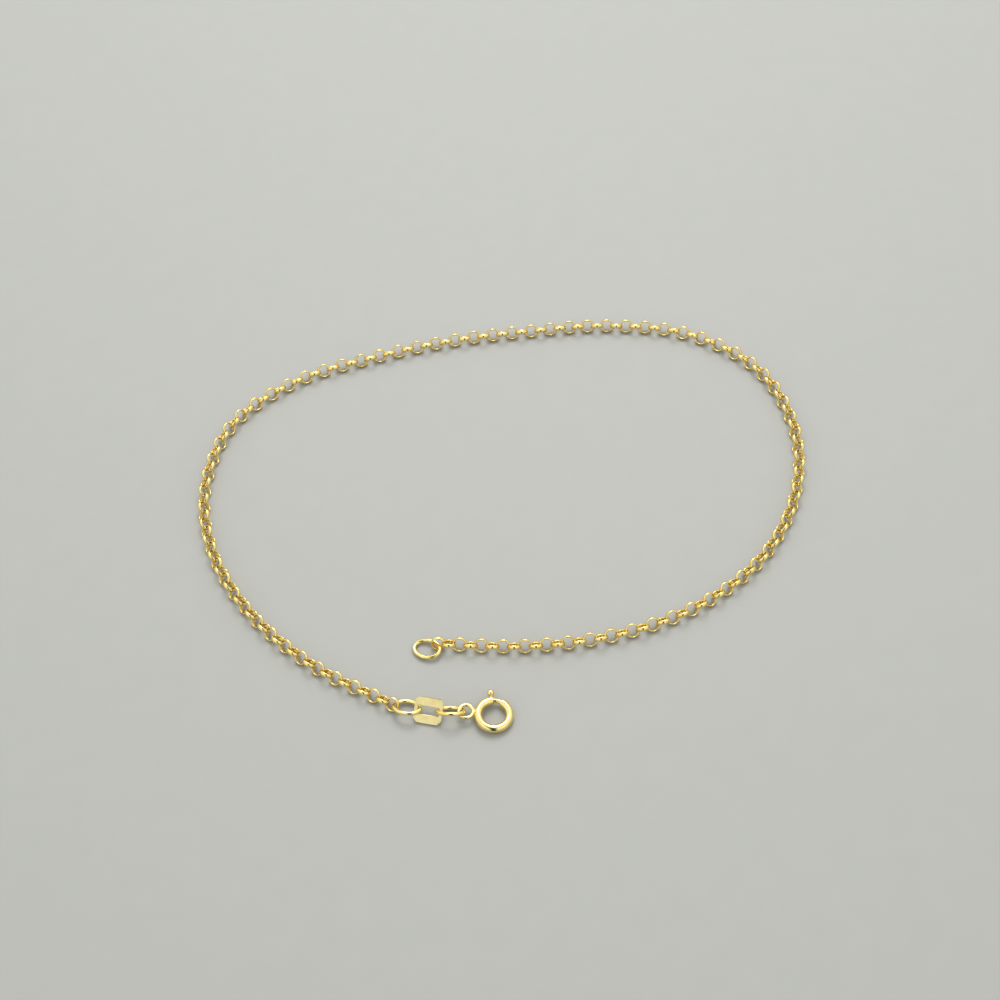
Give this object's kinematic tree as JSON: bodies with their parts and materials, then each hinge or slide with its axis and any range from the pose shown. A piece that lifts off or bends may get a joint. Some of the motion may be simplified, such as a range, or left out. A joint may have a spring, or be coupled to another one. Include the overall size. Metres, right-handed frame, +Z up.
{
  "type": "chain anklet",
  "caption": "Fine gold rolo chain anklet lying open, with an end ring, a slotted plate between oval links and a spring ring clasp.",
  "frame": {"origin": "centre of the open loop on the surface that it lies on", "axes": "+X along the loop's longest side, +Y across the loop away from the clasp, +Z up from the surface"},
  "size_m": [0.0882, 0.0704, 0.0023],
  "materials": {
    "chain_gold": "polished yellow gold",
    "clasp_gold": "polished yellow gold with light handling marks",
    "plate_gold": "satin yellow gold"
  },
  "bodies": {
    "anklet": {"chain_right": "chain_gold", "chain_left": "chain_gold", "end_ring": "clasp_gold", "oval_link_chain": "clasp_gold", "plate_link": "plate_gold", "oval_link_clasp": "clasp_gold", "clasp_ring": "clasp_gold"},
    "bolt": {"clasp_bolt": "clasp_gold"}
  },
  "joints": [
    {"name": "bolt_trigger", "type": "hinge", "parent": "anklet", "child": "bolt", "pos_m": [-0.00345, -0.03259, 0.00075], "axis": [0.0798, -0.0494, 0.9956], "range_deg": [0, 34], "stiffness_Nm_per_rad": 0.002, "springref_deg": -28.65}
  ]
}
